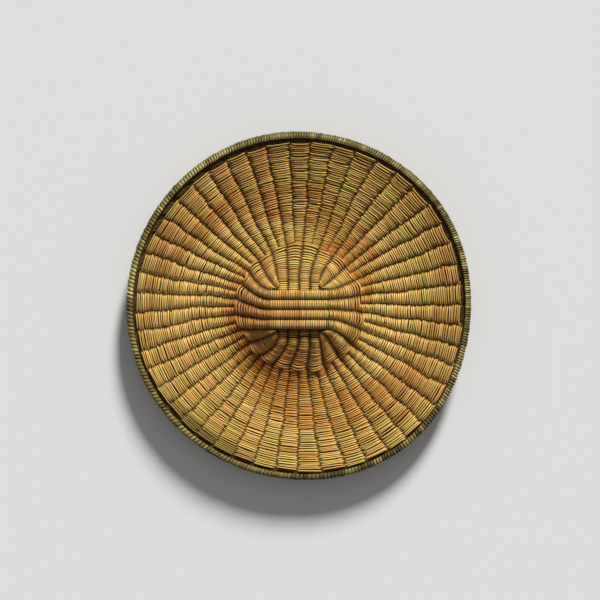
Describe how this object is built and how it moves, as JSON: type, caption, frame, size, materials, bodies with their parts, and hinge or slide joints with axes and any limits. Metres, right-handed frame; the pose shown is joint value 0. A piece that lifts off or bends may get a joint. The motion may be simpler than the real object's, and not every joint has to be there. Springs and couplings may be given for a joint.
{
  "type": "basketry plaque",
  "caption": "Round shallow wicker plaque with a raised hub, a small rectangular pad at its centre, radial woven ribs and a wrapped rim.",
  "frame": {"origin": "on the surface the plaque rests on, below the middle of the rim", "axes": "+Z out of the face, +X to the right and +Y to the top of the face as it is seen in the picture, the pad on the face running along X"},
  "size_m": [0.33, 0.33, 0.0215],
  "materials": {
    "peeled_rods": "matt peeled plant rods, dry",
    "pad_stems": "undyed split stems, satin",
    "hub_stems": "darkened stems with faded red-brown and green dye, satin",
    "ring_stems": "stems with faded yellow and orange dye, satin",
    "dish_stems": "stems in pale straw, yellow and faded orange, satin",
    "bent_rod_ends": "dark old plant fibre, matt",
    "leaf_strip": "flat green-tan yucca leaf strip, satin"
  },
  "bodies": {
    "root": {"rods_across_1": "peeled_rods", "rods_across_2": "peeled_rods", "rods_across_3": "peeled_rods", "rods_across_4": "peeled_rods", "rods_across_5": "peeled_rods", "rods_across_6": "peeled_rods", "rods_across_7": "peeled_rods", "rods_across_8": "peeled_rods", "rods_upright_1": "peeled_rods", "rods_upright_2": "peeled_rods", "rods_upright_3": "peeled_rods", "rods_upright_4": "peeled_rods", "rods_upright_5": "peeled_rods", "rods_upright_6": "peeled_rods", "rods_upright_7": "peeled_rods", "rods_upright_8": "peeled_rods", "rods_corner_1": "peeled_rods", "rods_corner_2": "peeled_rods", "rods_corner_3": "peeled_rods", "rods_corner_4": "peeled_rods", "rods_corner_5": "peeled_rods", "rods_corner_6": "peeled_rods", "rods_corner_7": "peeled_rods", "rods_corner_8": "peeled_rods", "rods_corner_9": "peeled_rods", "rods_corner_10": "peeled_rods", "rods_corner_11": "peeled_rods", "rods_corner_12": "peeled_rods", "rods_corner_13": "peeled_rods", "rods_corner_14": "peeled_rods", "rods_corner_15": "peeled_rods", "rods_corner_16": "peeled_rods", "front_pad_weave": "pad_stems", "back_pad_weave": "pad_stems", "hub_weave": "hub_stems", "resting_ring_weave": "ring_stems", "dish_weave": "dish_stems", "rim_core": "bent_rod_ends", "rim_wrap": "leaf_strip"}
  },
  "joints": []
}
